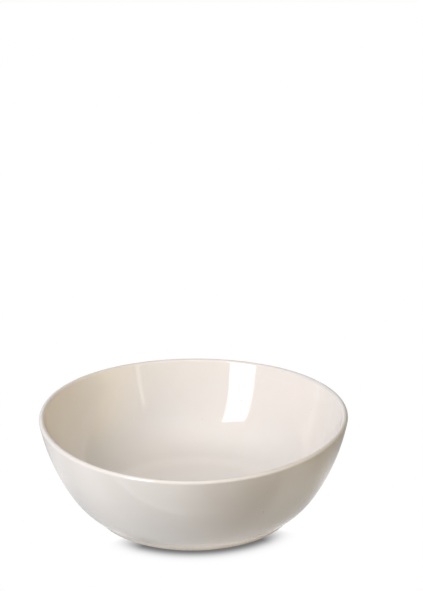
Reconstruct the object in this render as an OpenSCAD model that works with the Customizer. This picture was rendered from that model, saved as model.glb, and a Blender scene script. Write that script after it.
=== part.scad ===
// A glazed stoneware bowl for milky coffee, standing on a short foot ring.
// The origin is the middle of the standing face and +Z is up.
// Every piece is a turned form: its half section is drawn with the radius
// along X and the height along Y, and is then turned about the axis.

/* [Bowl] */
// Diameter over the glazed rim
rim_d = 150; // [126:1:176]
// Height of the rim above the table
bowl_h = 50.5; // [44:0.5:62]

/* [Wall] */
// Thickness of the wall at the lip, both glaze coats included
wall_t = 2.7; // [2.2:0.1:4]
// Radius of the long outer curve from the lip down to the belly
wall_r = 100; // [90:1:130]
// Lean of the wall off upright at the lip, in degrees
lip_lean = 11; // [6:1:16]
// Radius of the tighter belly curve, which takes the wall on down to the foot
belly_r = 40; // [34:1:52]
// Lean of the belly off upright where it reaches the foot, in degrees
foot_lean = 56.85; // [52:0.05:62]

/* [Inside] */
// Thickness of the floor, both glaze coats included
floor_t = 4; // [3:0.1:5.5]
// Radius of the inner curve from the wall to the flat floor
well_r = 32; // [24:1:38]

/* [Foot] */
// Height of the foot ring under the bowl
foot_h = 2.8; // [2.6:0.1:4]
// Width of the foot ring at the table, both glaze coats included
foot_w = 5; // [3.5:0.1:8]
// How far the bowl's lower edge stands out past the foot ring's side
foot_step = 1; // [0.95:0.05:2.2]
// Radius of the hollow curve from the foot ring's side to the bowl's underside
cove_r = 0.7; // [0.4:0.1:0.7]
// Bevel along both edges of the standing face
foot_edge = 0.4; // [0.2:0.1:0.6]

/* [Glaze] */
// Thickness of a glaze coat
glaze_t = 0.4; // [0.25:0.05:0.6]
// Height of the glaze's lower edge above the table
glaze_line = 0.6; // [0.6:0.1:1.2]

/* [Hidden] */
$fn = 144;
lip_steps = 16;
cove_steps = 8;
least_step = 0.02;
// Two curves that touch are cut this far above their touching point, where
// the gap between them is about 0.001 and so makes one clear edge.
lap = 0.3;

clay_color = [0.90, 0.86, 0.79];
glaze_color = [0.95, 0.93, 0.89];

rim_r = rim_d / 2;
lip_r = wall_t / 2;
inner_r = wall_r - wall_t;
floor_z = foot_h + floor_t;

// Middle of the round lip, and the middle of the wall's long curve below it.
lip_c = [rim_r - lip_r, bowl_h - lip_r];
wall_c = lip_c - (wall_r - lip_r) * leaning(lip_lean);
// The bowl's lower edge, where its glazed belly turns in over the foot ring.
edge_z = foot_h - glaze_t;
// The belly's curve touches the wall's curve and ends at that edge.
belly_lean = asin((wall_c[1] - edge_z - belly_r * sin(foot_lean)) / (wall_r - belly_r));
belly_c = wall_c + (wall_r - belly_r) * leaning(belly_lean);
edge_r = belly_c[0] + belly_r * cos(foot_lean);
// The well's curve touches the inner wall and the floor.
well_lean = asin((wall_c[1] - floor_z - well_r) / (inner_r - well_r));
well_c = wall_c + (inner_r - well_r) * leaning(well_lean);

foot_r = edge_r - foot_step;
foot_in_r = foot_r - foot_w;
// The cove under the lower edge touches the flat underside and the foot ring's side.
cove_c = [foot_r + cove_r, edge_z - cove_r];

// Direction square to a wall that leans outwards by this angle.
function leaning(angle) = [cos(angle), -sin(angle)];
// Height at which an arc about wall_c reaches a lean.
function height_at(radius, lean) = wall_c[1] - radius * sin(lean);
// Points round the lip, from the outer wall over the top to the inner wall.
function round_lip(radius) =
    [for (i = [0 : lip_steps]) lip_c + radius * leaning(lip_lean - 180 * i / lip_steps)];
// Radius of the foot ring's outer side at a height, taken in by a depth.
function side_r(depth, z) = z < cove_c[1]
    ? foot_r - depth
    : cove_c[0] - sqrt(pow(cove_r + depth, 2) - pow(z - cove_c[1], 2));
// Points up the foot ring's side and round the cove, from a height upwards.
function foot_side(depth, from) = concat(
    [[side_r(depth, from), from]],
    [
        for (i = [0 : cove_steps])
            let (turn = 90 * i / cove_steps)
            let (point = cove_c + (cove_r + depth) * [-cos(turn), sin(turn)])
            if (point[1] > from + least_step) point
    ]
);
// A list of points in the opposite order.
function backwards(points) = [for (i = [len(points) - 1 : -1 : 0]) points[i]];

// Everything inside the outer surface, taken in by a depth, with no lip.
module outer_form(depth) {
    wall_reach = wall_r - depth;
    join_z = height_at(wall_reach, belly_lean) + lap;
    base_z = edge_z + depth;
    intersection() {
        translate(wall_c) circle(r = wall_reach);
        translate([0, join_z]) square([rim_r, bowl_h - join_z]);
    }
    intersection() {
        translate([0, base_z]) square([rim_r, join_z - base_z]);
        union() {
            translate(belly_c) circle(r = belly_r - depth);
            translate([0, base_z]) square([belly_c[0], join_z - base_z]);
        }
    }
}

// Everything inside the inner surface, let out into the wall by a depth.
module inner_form(depth) {
    wall_reach = inner_r + depth;
    join_z = height_at(wall_reach, well_lean) + lap;
    base_z = floor_z - depth;
    intersection() {
        translate(wall_c) circle(r = wall_reach);
        translate([0, join_z]) square([rim_r, bowl_h - join_z]);
    }
    intersection() {
        translate([0, base_z]) square([rim_r, join_z - base_z]);
        union() {
            translate(well_c) circle(r = well_r + depth);
            translate([0, base_z]) square([well_c[0], join_z - base_z]);
        }
    }
}

// The space above the line across the wall where the round lip starts.
module above_lip_line() {
    translate(wall_c) rotate(-lip_lean) square([wall_r + wall_t, wall_r]);
}

// Clay wall and floor, with the round lip that carries the rim's glaze.
module bowl_body() {
    color(clay_color) rotate_extrude() {
        difference() {
            outer_form(glaze_t);
            inner_form(glaze_t);
            above_lip_line();
        }
        polygon(round_lip(lip_r - glaze_t));
    }
}

// Ring of clay that the bowl stands on. Its standing face is left bare.
module foot_ring() {
    out_r = side_r(glaze_t, foot_edge);
    in_r = foot_in_r + glaze_t;
    color(clay_color) rotate_extrude() polygon(concat(
        [[in_r + foot_edge, 0], [out_r - foot_edge, 0]],
        foot_side(glaze_t, foot_edge),
        [[in_r, foot_h], [in_r, foot_edge]]
    ));
}

// Coat over the inner wall, the well and the floor.
module inner_glaze() {
    color(glaze_color) rotate_extrude() difference() {
        inner_form(glaze_t);
        inner_form(0);
        above_lip_line();
    }
}

// Coat over the outer wall, in under its lower edge and round the cove.
module outer_glaze() {
    color(glaze_color) rotate_extrude() {
        difference() {
            outer_form(0);
            outer_form(glaze_t);
            above_lip_line();
            square([cove_c[0], foot_h]);
        }
        polygon(concat(foot_side(0, glaze_line), backwards(foot_side(glaze_t, glaze_line))));
    }
}

// Roll of glaze over the lip, from the outer coat to the inner one.
module lip_glaze() {
    color(glaze_color) rotate_extrude()
        polygon(concat(round_lip(lip_r), backwards(round_lip(lip_r - glaze_t))));
}

// Coat under the floor and down the inner side of the foot ring.
module base_glaze() {
    color(glaze_color) rotate_extrude() {
        translate([0, edge_z]) square([foot_in_r + glaze_t, glaze_t]);
        translate([foot_in_r, glaze_line]) square([glaze_t, foot_h - glaze_line]);
    }
}

bowl_body();
foot_ring();
inner_glaze();
outer_glaze();
lip_glaze();
base_glaze();
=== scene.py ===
import math

import bmesh
import bpy
from mathutils import Matrix, Vector


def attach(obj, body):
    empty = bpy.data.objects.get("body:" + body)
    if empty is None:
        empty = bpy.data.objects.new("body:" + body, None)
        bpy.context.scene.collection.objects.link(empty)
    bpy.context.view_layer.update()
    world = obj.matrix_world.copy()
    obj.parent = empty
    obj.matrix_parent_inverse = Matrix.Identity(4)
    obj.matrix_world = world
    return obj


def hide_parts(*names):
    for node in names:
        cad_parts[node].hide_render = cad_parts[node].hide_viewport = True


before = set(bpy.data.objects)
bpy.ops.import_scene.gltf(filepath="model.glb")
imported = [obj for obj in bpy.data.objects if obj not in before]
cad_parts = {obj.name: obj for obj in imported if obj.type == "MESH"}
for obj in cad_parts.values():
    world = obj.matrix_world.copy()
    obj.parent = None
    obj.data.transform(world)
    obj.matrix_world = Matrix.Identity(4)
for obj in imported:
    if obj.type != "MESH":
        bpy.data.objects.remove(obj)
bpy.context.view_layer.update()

mm = 0.001


# Camera
# A long lens, a little above the table, that looks at the bowl's front. It
# aims above the bowl, which stands in the lower half of an upright picture.
frame_w_px = 423
lens_px = 3685
camera_lift = 24.31
camera_distance = 1800 * mm
camera_roll = math.radians(-0.575)
bowl_middle = Vector((0, 0, 26 * mm))
aim = Vector((9.35 * mm, 0, 112.2 * mm))


def heading(around, lift):
    """Direction by its degrees round the bowl from the front and its degrees off the table."""
    around, lift = math.radians(around), math.radians(lift)
    flat = math.cos(lift)
    return Vector((math.sin(around) * flat, -math.cos(around) * flat, math.sin(lift)))


camera_data = bpy.data.cameras.new("camera")
camera_data.sensor_fit = "HORIZONTAL"
camera_data.lens = lens_px / frame_w_px * camera_data.sensor_width
camera = bpy.data.objects.new("camera", camera_data)
bpy.context.scene.collection.objects.link(camera)
camera.location = bowl_middle + camera_distance * heading(0, camera_lift)
look = (aim - camera.location).to_track_quat("-Z", "Y").to_matrix()
camera.rotation_euler = (look @ Matrix.Rotation(camera_roll, 3, "Z")).to_euler()
bpy.context.scene.camera = camera


# Bowl body
# The fired clay wall and floor, pressed over a turning mould and trimmed on
# the wheel. The glaze and the foot ring cover it all over, so none of it shows.
rim_r = 75 * mm
bowl_h = 50.5 * mm
wall_t = 2.7 * mm
wall_r = 100 * mm
lip_lean = math.radians(11)
belly_r = 40 * mm
foot_lean = math.radians(56.85)
floor_t = 4 * mm
well_r = 32 * mm
foot_h = 2.8 * mm
glaze_t = 0.4 * mm

lip_r = wall_t / 2
inner_r = wall_r - wall_t
floor_z = foot_h + floor_t
edge_z = foot_h - glaze_t


def leaning(angle):
    """Direction square to a wall that leans outwards by this angle."""
    return Vector((math.cos(angle), 0, -math.sin(angle)))


lip_c = Vector((rim_r - lip_r, 0, bowl_h - lip_r))
wall_c = lip_c - (wall_r - lip_r) * leaning(lip_lean)
belly_fall = wall_c.z - edge_z - belly_r * math.sin(foot_lean)
belly_lean = math.asin(belly_fall / (wall_r - belly_r))
belly_c = wall_c + (wall_r - belly_r) * leaning(belly_lean)
well_lean = math.asin((wall_c.z - floor_z - well_r) / (inner_r - well_r))
well_c = wall_c + (inner_r - well_r) * leaning(well_lean)


def edge_lean(depth):
    """Lean at which the belly, taken in by a depth, meets the bowl's underside."""
    return math.asin((belly_c.z - edge_z - depth) / (belly_r - depth))


def start(bm, r, z):
    """Set the pen down to draw a half section."""
    return bm.verts.new((r, 0, z))


def line(bm, tip, r, z, steps=1):
    """Draw a straight stretch of a half section, from the tip to r, z."""
    run = Vector((r, 0, z)) - tip.co
    for _ in range(steps):
        here = tip.co.copy()
        tip = bmesh.ops.extrude_vert_indiv(bm, verts=[tip])["verts"][0]
        tip.co = here + run / steps
    return tip


def arc(bm, tip, centre, turn, steps):
    """Draw a round stretch by swinging the tip about a centre."""
    swung = bmesh.ops.spin(bm, geom=[tip], cent=centre, axis=(0, -1, 0), angle=turn,
                           steps=steps, use_duplicate=False)
    return [v for v in swung["geom_last"] if isinstance(v, bmesh.types.BMVert)][0]


def clay_inside(bm, tip):
    """Draw the clay's inner face, from under the lip to the middle of the floor."""
    tip = arc(bm, tip, wall_c, lip_lean - well_lean, steps=24)
    tip = arc(bm, tip, well_c, well_lean - math.pi / 2, steps=24)
    line(bm, tip, 0, floor_z - glaze_t, steps=8)


def throw(bm, steps=192):
    """Turn a half section once round the bowl's axis and close it."""
    bmesh.ops.spin(bm, geom=bm.verts[:] + bm.edges[:], cent=(0, 0, 0), axis=(0, 0, 1),
                   angle=math.tau, steps=steps, use_merge=True, use_duplicate=False)
    bmesh.ops.remove_doubles(bm, verts=bm.verts[:], dist=0.0001 * mm)
    bmesh.ops.recalc_face_normals(bm, faces=bm.faces[:])


def round_corner(bm, r, z, width, segments=5):
    """Round the corner that runs round the bowl at a radius and a height."""
    near = 0.01 * mm

    def on_corner(vert):
        return abs(math.hypot(vert.co.x, vert.co.y) - r) < near and abs(vert.co.z - z) < near

    ring = [e for e in bm.edges if all(on_corner(v) for v in e.verts)]
    bmesh.ops.bevel(bm, geom=ring, offset=width, offset_type="OFFSET", segments=segments,
                    profile=0.5, affect="EDGES", material=-1)


# The kiln left the rim out of flat by twice this warp: it is highest at the
# sides and dips at the front and back. The foot stays flat.
kiln_warp = 1.0 * mm
warp_turn = math.radians(-14)
warp_growth = 1.5


def fire(bm):
    """Let the wall sink as it did in the kiln, the more the higher it is."""
    for vert in bm.verts:
        round_angle = math.atan2(vert.co.y, vert.co.x)
        share = (vert.co.z / bowl_h) ** warp_growth if vert.co.z > 0 else 0
        vert.co.z -= share * kiln_warp * (1 - math.cos(2 * round_angle - warp_turn))


def mark_coat(bm):
    """Note how near each point is to the lip and to the foot, where the coat is tinted: partly
    thin glaze and partly painted shade at the lip, painted shade at the foot.
    """
    lip_mark = bm.verts.layers.float.new("lip_nearness")
    foot_mark = bm.verts.layers.float.new("foot_nearness")
    lip_band = 9 * mm
    foot_band = 4 * mm
    for vert in bm.verts:
        vert[lip_mark] = min(1, max(0, 1 - (bowl_h - vert.co.z) / lip_band)) ** 2
        vert[foot_mark] = min(1, max(0, 1 - vert.co.z / foot_band))


def set_out(bm, name, material):
    """Make a bmesh an object of the scene, in a material."""
    mesh = bpy.data.meshes.new(name)
    bm.to_mesh(mesh)
    bm.free()
    mesh.materials.append(material)
    thing = bpy.data.objects.new(name, mesh)
    bpy.context.scene.collection.objects.link(thing)
    return thing


def finish_piece(bm, node, material):
    """Make a bmesh a smooth piece that stands for a node of the frame."""
    sharp_edge = math.radians(50)
    mark_coat(bm)
    fire(bm)
    piece = set_out(bm, node + "_form", material)
    piece.data.shade_smooth()
    piece.data.set_sharp_from_angle(angle=sharp_edge)
    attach(piece, "root")
    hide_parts(node)


def put(tree, kind, inputs, **settings):
    """Add a shader node. Each of its inputs is a value or another node's output."""
    item = tree.nodes.new("ShaderNode" + kind)
    for name, value in settings.items():
        setattr(item, name, value)
    for key, value in inputs.items():
        if isinstance(value, bpy.types.NodeSocket):
            tree.links.new(value, item.inputs[key])
        else:
            item.inputs[key].default_value = value
    return item


def sums(tree, operation, first, second=0.0):
    """Add a Math node and give its result."""
    return put(tree, "Math", {0: first, 1: second}, operation=operation).outputs["Value"]


def vectors(tree, operation, inputs, result="Vector"):
    """Add a Vector Math node and give its result."""
    return put(tree, "VectorMath", inputs, operation=operation).outputs[result]


def mixed(tree, share, first, second):
    """Mix two colours by a share."""
    # The Mix node has its colour sockets after those for numbers and vectors.
    first_in, second_in, colour_out = 6, 7, 2
    node = put(tree, "Mix", {"Factor": share}, data_type="RGBA")
    for number, colour in ((first_in, first), (second_in, second)):
        if isinstance(colour, bpy.types.NodeSocket):
            tree.links.new(colour, node.inputs[number])
        else:
            node.inputs[number].default_value = (*colour, 1)
    return node.outputs[colour_out]


def spread(tree, value, low, high, to_low, to_high):
    """Take a value's range from low to high to another range, and stop at its ends."""
    item = put(tree, "MapRange", {"Value": value, "From Min": low, "From Max": high,
                                  "To Min": to_low, "To Max": to_high})
    return item.outputs["Result"]


def noise(tree, place, size, detail=2.0):
    """Give a noise whose patches are about this size across, as a value from 0 to 1."""
    item = put(tree, "TexNoise", {"Vector": place, "Scale": 1 / size, "Detail": detail})
    return item.outputs["Fac"]


def vary(tree, noisy, to_low, to_high, low=0.3, high=0.7):
    """Take the range that nearly all of a noise lies in to another range."""
    return spread(tree, noisy, low, high, to_low, to_high)


def new_group(name, inputs, outputs):
    """Start a shader node group and give its tree, its inputs and its outputs."""
    group = bpy.data.node_groups.new(name, "ShaderNodeTree")
    for way, sockets in (("INPUT", inputs), ("OUTPUT", outputs)):
        for label, kind in sockets.items():
            group.interface.new_socket(name=label, in_out=way, socket_type="NodeSocket" + kind)
    given = group.nodes.new("NodeGroupInput")
    result = group.nodes.new("NodeGroupOutput")
    return group, given.outputs, result.inputs


def use_group(tree, group, inputs):
    """Place a shader node group in a material with its own values."""
    return put(tree, "Group", inputs, node_tree=group).outputs


def new_material(name):
    """Start a material with a wired Principled shader."""
    material = bpy.data.materials.new(name)
    material.use_nodes = True
    tree = material.node_tree
    tree.nodes.clear()
    shader = put(tree, "BsdfPrincipled", {})
    put(tree, "OutputMaterial", {"Surface": shader.outputs["BSDF"]})
    return material, tree, shader


def raise_surface(tree, shader, height):
    """Let a height in metres shape the surface of a shader."""
    bump = put(tree, "Bump", {"Height": height, "Strength": 1, "Distance": 1})
    tree.links.new(bump.outputs["Normal"], shader.inputs["Normal"])


# Iron in the clay burns to small brown specks, here and there. Pin holes in
# the glaze are scattered in the same way.
speck_edge_size = 0.7 * mm
speck_swell = (0.6, 1.4)
speck_core = 0.6

tree, given, result = new_group(
    "iron_specks", {"Vector": "Vector", "Spacing": "Float", "Radius": "Float"}, {"Mask": "Float"})
specks = tree
wander = noise(tree, given["Vector"], speck_edge_size)
cells = put(tree, "TexVoronoi", {"Vector": given["Vector"],
                                 "Scale": sums(tree, "DIVIDE", 1.0, given["Spacing"])})
apart = sums(tree, "MULTIPLY", cells.outputs["Distance"], given["Spacing"])
uneven = sums(tree, "MULTIPLY", given["Radius"], vary(tree, wander, *speck_swell))
near = sums(tree, "DIVIDE", apart, uneven)
tree.links.new(spread(tree, near, speck_core, 1.0, 1.0, 0.0), result["Mask"])

# The turning tool leaves fine rings that run round the axis and stray a little.
stray_turns = 5.0
stray_size = 30 * mm

tree, given, result = new_group(
    "turning_rings", {"Vector": "Vector", "Spacing": "Float"}, {"Height": "Float"})
rings = tree
split = put(tree, "SeparateXYZ", {"Vector": given["Vector"]})
flat = put(tree, "CombineXYZ", {"X": split.outputs["X"], "Y": split.outputs["Y"]})
out = vectors(tree, "LENGTH", {0: flat.outputs["Vector"]}, "Value")
along = sums(tree, "ADD", out, split.outputs["Z"])
drift = sums(tree, "MULTIPLY", noise(tree, given["Vector"], stray_size), stray_turns)
turns = sums(tree, "ADD", sums(tree, "DIVIDE", along, given["Spacing"]), drift)
wave = sums(tree, "SINE", sums(tree, "MULTIPLY", turns, math.tau))
tree.links.new(wave, result["Height"])

clay_dark = (0.60, 0.52, 0.43)
clay_light = (0.76, 0.69, 0.60)
clay_blush = (0.70, 0.60, 0.49)
clay_speck = (0.30, 0.20, 0.13)
speck_strength = 0.7
grain_size = 0.45 * mm
grain_depth = 0.04 * mm
grain_roughness = (0.75, 0.95)
blush_size = 9 * mm
blush_share = (0.0, 0.35)
groove_spacing = 0.8 * mm
groove_depth = 0.008 * mm

biscuit, tree, shader = new_material("bare_fired_clay")
place = put(tree, "TexCoord", {}).outputs["Object"]
grain = noise(tree, place, grain_size, detail=4.0)
clay = mixed(tree, vary(tree, grain, 0.0, 1.0), clay_dark, clay_light)
blush = vary(tree, noise(tree, place, blush_size), *blush_share)
clay = mixed(tree, blush, clay, clay_blush)
spots = use_group(tree, specks, {"Vector": place, "Spacing": 4 * mm, "Radius": 0.25 * mm})["Mask"]
clay = mixed(tree, sums(tree, "MULTIPLY", spots, speck_strength), clay, clay_speck)
tree.links.new(clay, shader.inputs["Base Color"])
tree.links.new(vary(tree, grain, *grain_roughness), shader.inputs["Roughness"])
grooves = use_group(tree, rings, {"Vector": place, "Spacing": groove_spacing})["Height"]
grooves = sums(tree, "MULTIPLY", grooves, groove_depth)
grit = sums(tree, "MULTIPLY", grain, grain_depth)
raise_surface(tree, shader, sums(tree, "ADD", grit, grooves))

bm = bmesh.new()
clay_edge = belly_c + (belly_r - glaze_t) * leaning(edge_lean(glaze_t))
tip = start(bm, 0, foot_h)
tip = line(bm, tip, clay_edge.x, clay_edge.z, steps=8)
tip = arc(bm, tip, belly_c, edge_lean(glaze_t) - belly_lean, steps=20)
tip = arc(bm, tip, wall_c, belly_lean - lip_lean, steps=30)
tip = arc(bm, tip, lip_c, math.pi, steps=16)
clay_inside(bm, tip)
throw(bm)
finish_piece(bm, "bowl_body", biscuit)


# Foot ring
# The short ring of clay that the bowl stands on, trimmed on the wheel. Its
# standing face is wiped clean of glaze, so bare clay shows there.
foot_w = 5 * mm
foot_step = 1 * mm
cove_r = 0.7 * mm
foot_edge = 0.4 * mm

edge_r = (belly_c + belly_r * leaning(foot_lean)).x
foot_r = edge_r - foot_step
foot_in_r = foot_r - foot_w
cove_c = Vector((foot_r + cove_r, 0, edge_z - cove_r))
clay_side = foot_r - glaze_t
clay_in_side = foot_in_r + glaze_t

bm = bmesh.new()
first = start(bm, clay_in_side + foot_edge, 0)
tip = line(bm, first, clay_side - foot_edge, 0, steps=6)
tip = arc(bm, tip, Vector((clay_side - foot_edge, 0, foot_edge)), math.pi / 2, steps=4)
tip = line(bm, tip, clay_side, cove_c.z, steps=3)
tip = arc(bm, tip, cove_c, -math.pi / 2, steps=8)
tip = line(bm, tip, clay_in_side, foot_h, steps=6)
tip = line(bm, tip, clay_in_side, foot_edge, steps=4)
bm.edges.new((tip, first))
throw(bm)
finish_piece(bm, "foot_ring", biscuit)


# Inner glaze
# Ivory glaze poured in and out of the bowl and fired to a gloss. It lies over
# the floor, the well and the wall up to the lip.
ivory_cool = (0.800, 0.764, 0.718)
ivory_warm = (0.824, 0.762, 0.706)
ivory_curd = (0.800, 0.752, 0.694)
lip_thin_and_shade_tone = (0.62, 0.52, 0.47)
foot_shade_tone = (0.44, 0.38, 0.31)
fleck_tone = (0.42, 0.32, 0.24)
cloud_size = 55 * mm
curd_size = 9 * mm
curd_range = (0.35, 0.65)
curd_share = (0.0, 0.5)
lip_thin_and_shade_share = (0.02, 0.1)
foot_shade_share = (0.95, 1.2)
glaze_roughness = (0.045, 0.085)
peel_size = 2.4 * mm
peel_depth = 0.004 * mm
ripple_size = 24 * mm
line_spacing = 3.1 * mm
pit_depth = 0.02 * mm
glaze_ior = 1.5

# A glaze coat: cloudy ivory, a little warmer over the lip, partly where it is thin
# and partly as painted shade, darker towards its lower edge as painted shade,
# with a faint ripple.
tree, given, result = new_group(
    "glaze_coat",
    {"Vector": "Vector", "Lip": "Float", "Foot": "Float", "Ripple": "Float", "Rings": "Float",
     "Flare": "Float"},
    {"Color": "Color", "Roughness": "Float", "Height": "Float"})
coat = tree
place = given["Vector"]
clouds = noise(tree, place, cloud_size)
curds = noise(tree, place, curd_size, detail=3.0)
ivory = mixed(tree, vary(tree, clouds, 0.0, 1.0), ivory_cool, ivory_warm)
ivory = mixed(tree, vary(tree, curds, *curd_share, *curd_range), ivory, ivory_curd)
# The lip turns a little warmer and darker, partly thin glaze over the clay and partly painted
# shade.
lip_thin_and_shade = sums(tree, "POWER", given["Lip"], 2.0)
lip_thin_and_shade = sums(tree, "MULTIPLY", lip_thin_and_shade, vary(tree, curds, *lip_thin_and_shade_share, *curd_range))
ivory = mixed(tree, lip_thin_and_shade, ivory, lip_thin_and_shade_tone)
# Painted shade: the coat turns darker within a few millimetres of the foot, the most at its lower
# edge.
foot_shade = sums(tree, "POWER", given["Foot"], 2.0)
foot_shade = sums(tree, "MULTIPLY", foot_shade, vary(tree, curds, *foot_shade_share, *curd_range))
ivory = mixed(tree, foot_shade, ivory, foot_shade_tone)
spots = use_group(tree, specks, {"Vector": place, "Spacing": 11 * mm, "Radius": 0.4 * mm})["Mask"]
ivory = mixed(tree, sums(tree, "MULTIPLY", spots, speck_strength), ivory, fleck_tone)
tree.links.new(ivory, result["Color"])
tree.links.new(vary(tree, curds, *glaze_roughness), result["Roughness"])
peel = sums(tree, "MULTIPLY", noise(tree, place, peel_size, detail=1.0), peel_depth)
ripple = sums(tree, "MULTIPLY", noise(tree, place, ripple_size, detail=0.0), given["Ripple"])
lines = use_group(tree, rings, {"Vector": place, "Spacing": line_spacing})["Height"]
lines = sums(tree, "MULTIPLY", lines, given["Rings"])
pits = use_group(tree, specks, {"Vector": place, "Spacing": 5 * mm, "Radius": 0.12 * mm})["Mask"]
pits = sums(tree, "MULTIPLY", pits, -pit_depth)
height = sums(tree, "ADD", sums(tree, "ADD", peel, ripple), sums(tree, "ADD", lines, pits))
# The turner's finger drew the wall back a little towards the lip.
drawn = sums(tree, "MULTIPLY", given["Lip"], given["Flare"])
tree.links.new(sums(tree, "SUBTRACT", height, drawn), result["Height"])


def new_glaze(name, turn, ripple, ring_depth, flare=0.0):
    """Make an ivory glaze, with its clouds turned by some degrees and its own relief."""
    material, tree, shader = new_material(name)
    shader.inputs["IOR"].default_value = glaze_ior
    place = put(tree, "TexCoord", {}).outputs["Object"]
    turned = put(tree, "Mapping", {"Vector": place, "Rotation": (0, 0, math.radians(turn))})
    lip = put(tree, "Attribute", {}, attribute_name="lip_nearness").outputs["Fac"]
    foot = put(tree, "Attribute", {}, attribute_name="foot_nearness").outputs["Fac"]
    glaze = use_group(tree, coat, {"Vector": turned.outputs["Vector"], "Lip": lip, "Foot": foot,
                                   "Ripple": ripple, "Rings": ring_depth, "Flare": flare})
    tree.links.new(glaze["Color"], shader.inputs["Base Color"])
    tree.links.new(glaze["Roughness"], shader.inputs["Roughness"])
    raise_surface(tree, shader, glaze["Height"])
    return material


lip_in_clay = wall_c + (inner_r + glaze_t) * leaning(lip_lean)

bm = bmesh.new()
tip = start(bm, 0, floor_z)
tip = line(bm, tip, well_c.x, floor_z, steps=12)
tip = arc(bm, tip, well_c, math.pi / 2 - well_lean, steps=40)
tip = arc(bm, tip, wall_c, well_lean - lip_lean, steps=40)
tip = line(bm, tip, lip_in_clay.x, lip_in_clay.z)
clay_inside(bm, tip)
throw(bm)
inside = new_glaze(
    "ivory_glaze_inside", turn=40, ripple=0.10 * mm, ring_depth=0.0010 * mm, flare=0.35 * mm)
finish_piece(bm, "inner_glaze", inside)


# Outer glaze
# The coat of the outside. It runs down the wall and the belly, turns in under
# the bowl's lower edge, fills the cove and ends just above the table.
glaze_line = 0.6 * mm
glaze_edge = 0.2 * mm

# It gathers in the corner under the belly, so that one hollow curve runs from
# its lower edge up to the belly's curve and touches it.
across = foot_r - belly_c.x
below = belly_c.z - glaze_line
sweep_r = (across ** 2 + below ** 2 - belly_r ** 2) / (2 * (belly_r - across))
sweep_c = Vector((foot_r + sweep_r, 0, glaze_line))
sweep_lean = math.asin(below / (belly_r + sweep_r))
clay_top = wall_c + (wall_r - glaze_t) * leaning(lip_lean)

bm = bmesh.new()
first = start(bm, foot_r, glaze_line)
tip = arc(bm, first, sweep_c, -sweep_lean, steps=16)
tip = arc(bm, tip, belly_c, sweep_lean - belly_lean, steps=34)
tip = arc(bm, tip, wall_c, belly_lean - lip_lean, steps=48)
tip = line(bm, tip, clay_top.x, clay_top.z)
tip = arc(bm, tip, wall_c, lip_lean - belly_lean, steps=30)
tip = arc(bm, tip, belly_c, belly_lean - edge_lean(glaze_t), steps=20)
tip = line(bm, tip, cove_c.x, foot_h)
tip = arc(bm, tip, cove_c, math.pi / 2, steps=8)
tip = line(bm, tip, clay_side, glaze_line)
bm.edges.new((tip, first))
throw(bm)
round_corner(bm, foot_r, glaze_line, glaze_edge)
outside = new_glaze("ivory_glaze_outside", turn=0, ripple=0.10 * mm, ring_depth=0.0015 * mm)
finish_piece(bm, "outer_glaze", outside)


# Lip glaze
# The roll of glaze over the lip, where the inner and the outer coat meet.
# Surface pull draws it thin and smooth there.
lip_start = lip_c + lip_r * leaning(lip_lean)

bm = bmesh.new()
first = start(bm, lip_start.x, lip_start.z)
tip = arc(bm, first, lip_c, math.pi, steps=28)
tip = line(bm, tip, lip_in_clay.x, lip_in_clay.z)
tip = arc(bm, tip, lip_c, -math.pi, steps=16)
bm.edges.new((tip, first))
throw(bm)
lip_coat = new_glaze("ivory_glaze_lip", turn=0, ripple=0.02 * mm, ring_depth=0.0)
finish_piece(bm, "lip_glaze", lip_coat)


# Base glaze
# The glaze under the floor and down the inner side of the foot ring, a little
# fuller in the corner between them.
corner_fill = 0.5 * mm

bm = bmesh.new()
tip = start(bm, 0, edge_z)
tip = line(bm, tip, foot_in_r, edge_z, steps=12)
tip = line(bm, tip, foot_in_r, glaze_line, steps=3)
tip = line(bm, tip, clay_in_side, glaze_line)
tip = line(bm, tip, clay_in_side, foot_h, steps=3)
line(bm, tip, 0, foot_h, steps=8)
throw(bm)
round_corner(bm, foot_in_r, edge_z, corner_fill)
under_floor = new_glaze("ivory_glaze_base", turn=90, ripple=0.10 * mm, ring_depth=0.003 * mm)
finish_piece(bm, "base_glaze", under_floor)


# Table and light
# A plain white table that runs on out of sight, lit softly from overhead, with a
# painted contact shadow, a painted reflection and a painted glow in its colour. A
# tall window stands to the front left, a narrow door to the front right, a warm
# wall to the right and a pale sheet behind; a curtain to the front right is only
# a painted reflection.
table_reach = 3000 * mm
table_grey = (0.18, 0.18, 0.18, 1)
table_roughness = 0.9
shadow_depth = 0.82
shadow_soft = 4.2 * mm
shadow_heading = 5.5
mirror_glow = 1.75
dim_middle = (46 * mm, -107 * mm, 0)
dim_w = 52 * mm
dim_h = 42 * mm
back_right = 117
foot_glow_off = 6 * mm
foot_glow_soft = 3.5 * mm
foot_glow_heading = 60

# A fade is where it starts, where it ends, and how strong the light or shadow
# is at each. It runs over a distance or, as bare numbers, over how squarely a
# place lies along a heading or how far out it is in the dim patch.
shadow_ends_fade = (0.60, 0.81, 0.0, 1.0)
own_shadow_fade = (55 * mm, 85 * mm, 0.65, 1.0)
dim_patch_fade = (0.6, 1.3, 0.0, mirror_glow)
beside_fade = (-50 * mm, -15 * mm, 1.0, 0.64)
behind_fade = (15 * mm, 60 * mm, 1.0, 0.6)
back_right_fade = (75 * mm, 115 * mm, 1.0, 0.65)
front_fade = (-86 * mm, -84 * mm, 0.78, 1.0)
band_front_fade = (-78.5 * mm, -77 * mm, 1.0, 0.0)
band_back_fade = (-72 * mm, -50 * mm, 0.68, 1.0)
foot_glow_fade = (-1.0, 1.0, 0.0, 1.5)
window_side_fade = (-180 * mm, -20 * mm, 0.22, 0.0)

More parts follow.
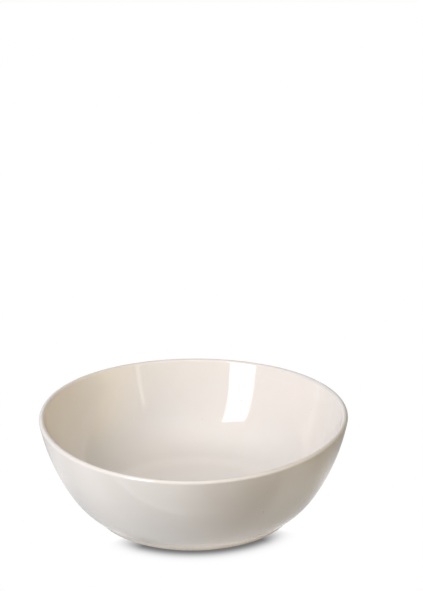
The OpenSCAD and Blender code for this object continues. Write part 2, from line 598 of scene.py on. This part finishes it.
table_material, tree, shader = new_material("white_table")
shader.inputs["Base Color"].default_value = table_grey
shader.inputs["Roughness"].default_value = table_roughness
place = put(tree, "TexCoord", {}).outputs["Object"]
out = vectors(tree, "LENGTH", {0: place}, "Value")


def bell(value):
    """A bell curve: 1 where the value is 0, and fading away to both sides."""
    square = sums(tree, "MULTIPLY", value, value)
    return sums(tree, "EXPONENT", sums(tree, "MULTIPLY", square, -0.5))


def out_along(around):
    """How far a point of the table lies from its middle along a heading."""
    return vectors(tree, "DOT_PRODUCT", {0: place, 1: heading(around, 0)}, "Value")


def facing(around):
    """How squarely a point of the table lies along a heading, from -1 to 1."""
    return sums(tree, "DIVIDE", out_along(around), sums(tree, "MAXIMUM", out, 1 * mm))


# A painted contact shadow in the table's colour fades with the distance from the foot
# and fades out towards the two sides.
off = sums(tree, "MAXIMUM", sums(tree, "SUBTRACT", out, foot_r), 0.0)
sides = spread(tree, sums(tree, "ABSOLUTE", facing(shadow_heading)), *shadow_ends_fade)
dark = sums(tree, "MULTIPLY", bell(sums(tree, "DIVIDE", off, shadow_soft)), sides)
white = sums(tree, "SUBTRACT", 1.0, sums(tree, "MULTIPLY", dark, shadow_depth))
# For glossy rays the table shows a painted reflection: a bright table with the
# bowl's own wide, soft shadow painted on it and a dim patch to the front right.
aside = vectors(tree, "SUBTRACT", {0: place, 1: dim_middle})
aside = vectors(tree, "MULTIPLY", {0: aside, 1: (1 / dim_w, 1 / dim_h, 0)})
lit = spread(tree, vectors(tree, "LENGTH", {0: aside}, "Value"), *dim_patch_fade)
# The painted reflection is dimmer beside the bowl, behind it and to its back right,
# and in front past a line. A faint bright band lies along the front.
split = put(tree, "SeparateXYZ", {"Vector": place}).outputs
depth = split["Y"]
for way, fade in ((out, own_shadow_fade), (depth, beside_fade), (depth, behind_fade),
                  (out_along(back_right), back_right_fade), (depth, front_fade)):
    lit = sums(tree, "MULTIPLY", lit, spread(tree, way, *fade))
band_front = spread(tree, depth, *band_front_fade)
band_back = spread(tree, depth, *band_back_fade)
lit = sums(tree, "MULTIPLY", lit, sums(tree, "MAXIMUM", band_front, band_back))
mirrored = sums(tree, "MULTIPLY", white, lit)
rays = put(tree, "LightPath", {}).outputs
seen = put(tree, "Mix", {"Factor": rays["Is Glossy Ray"], "A": white, "B": mirrored})
plain = put(tree, "Emission", {"Strength": seen.outputs["Result"]}).outputs["Emission"]
sight = sums(tree, "MAXIMUM", rays["Is Camera Ray"], rays["Is Glossy Ray"])
sight = sums(tree, "MAXIMUM", sight, rays["Is Transmission Ray"])
# A painted glow that diffuse rays see: close to the foot the table throws light
# up at the belly, the most towards the warm wall. Further out, its left side,
# towards the window, glows a little.
off = sums(tree, "SUBTRACT", out, foot_r + foot_glow_off)
painted_glow = sums(tree, "MULTIPLY", bell(sums(tree, "DIVIDE", off, foot_glow_soft)),
              spread(tree, facing(foot_glow_heading), *foot_glow_fade))
painted_glow = sums(tree, "ADD", painted_glow, spread(tree, split["X"], *window_side_fade))
painted_glow = put(tree, "Emission", {"Strength": painted_glow}).outputs["Emission"]
felt = put(tree, "AddShader", {0: shader.outputs["BSDF"], 1: painted_glow}).outputs["Shader"]
both = put(tree, "MixShader", {"Fac": sight, 1: felt, 2: plain}).outputs["Shader"]
output = [n for n in tree.nodes if n.type == "OUTPUT_MATERIAL"][0]
tree.links.new(both, output.inputs["Surface"])

bm = bmesh.new()
bmesh.ops.create_grid(bm, x_segments=1, y_segments=1, size=table_reach)
set_out(bm, "table", table_material)


def hang_light(name, width, height, place, shining, watts):
    """Hang a rectangular light that shines along a direction."""
    data = bpy.data.lights.new(name, "AREA")
    data.shape = "RECTANGLE"
    data.size = width
    data.size_y = height
    data.energy = watts
    light = bpy.data.objects.new(name, data)
    bpy.context.scene.collection.objects.link(light)
    light.location = place
    light.rotation_euler = shining.to_track_quat("-Z", "Y").to_euler()
    light.visible_camera = False
    return light


window_w = 650 * mm
window_h = 1350 * mm
window_place = (-915 * mm, -1000 * mm, window_h / 2)
window_lean = math.radians(2.5)
window = hang_light("window", window_w, window_h, window_place, Vector((0, 1, 0)), watts=20.6)
window.rotation_euler.rotate_axis("Z", window_lean)
# The door is left ajar and shows as a faint strip in the inner glaze.
door_w = 75 * mm
door_h = 400 * mm
door_distance = 1300 * mm
door_middle = Vector((0, 0, 360 * mm))
door_away = door_distance * heading(44.5, 0)
hang_light("door_gap", door_w, door_h, door_away + door_middle, -door_away, watts=0.18)

world = bpy.data.worlds.new("surround")
world.use_nodes = True
bpy.context.scene.world = world
tree = world.node_tree
tree.nodes.clear()
sky = put(tree, "TexCoord", {}).outputs["Generated"]
rays = put(tree, "LightPath", {}).outputs


def glow(direction, sharpness, colour):
    """Light that is strongest from one direction and fades away from it."""
    near = vectors(tree, "DOT_PRODUCT", {0: sky, 1: direction}, "Value")
    share = sums(tree, "POWER", sums(tree, "MAXIMUM", near, 0.0), sharpness)
    return vectors(tree, "SCALE", {0: colour, "Scale": share})


overhead = glow(heading(-22, 60), sharpness=4, colour=(1.68, 1.69, 1.73))
warm_wall = glow(heading(75, 5), sharpness=8, colour=(1.74, 1.32, 0.52))
cool_left = glow(heading(-90, 15), sharpness=8, colour=(0.08, 0.10, 0.28))
# The sheet behind the bowl lights its back and draws a bright line along the lip.
sheet = glow(heading(-162, 5), sharpness=6, colour=(1.05, 1.07, 1.15))
# A painted reflection: the curtain to the front right is seen only by glossy rays and shows as a
# cool sheen in the inner glaze.
curtain = glow(heading(45, 28), sharpness=4, colour=(0.30, 0.48, 0.95))
curtain = vectors(tree, "SCALE", {0: curtain, "Scale": rays["Is Glossy Ray"]})
room = overhead
for part in (warm_wall, cool_left, sheet, curtain):
    room = vectors(tree, "ADD", {0: room, 1: part})
surround = put(tree, "Background", {"Color": room}).outputs["Background"]
backdrop = put(tree, "Background", {"Color": (1, 1, 1, 1)}).outputs["Background"]
sight = sums(tree, "MAXIMUM", rays["Is Camera Ray"], rays["Is Transmission Ray"])
both = put(tree, "MixShader", {"Fac": sight, 1: surround, 2: backdrop})
put(tree, "OutputWorld", {"Surface": both.outputs["Shader"]})

bpy.context.scene.view_settings.view_transform = "Standard"
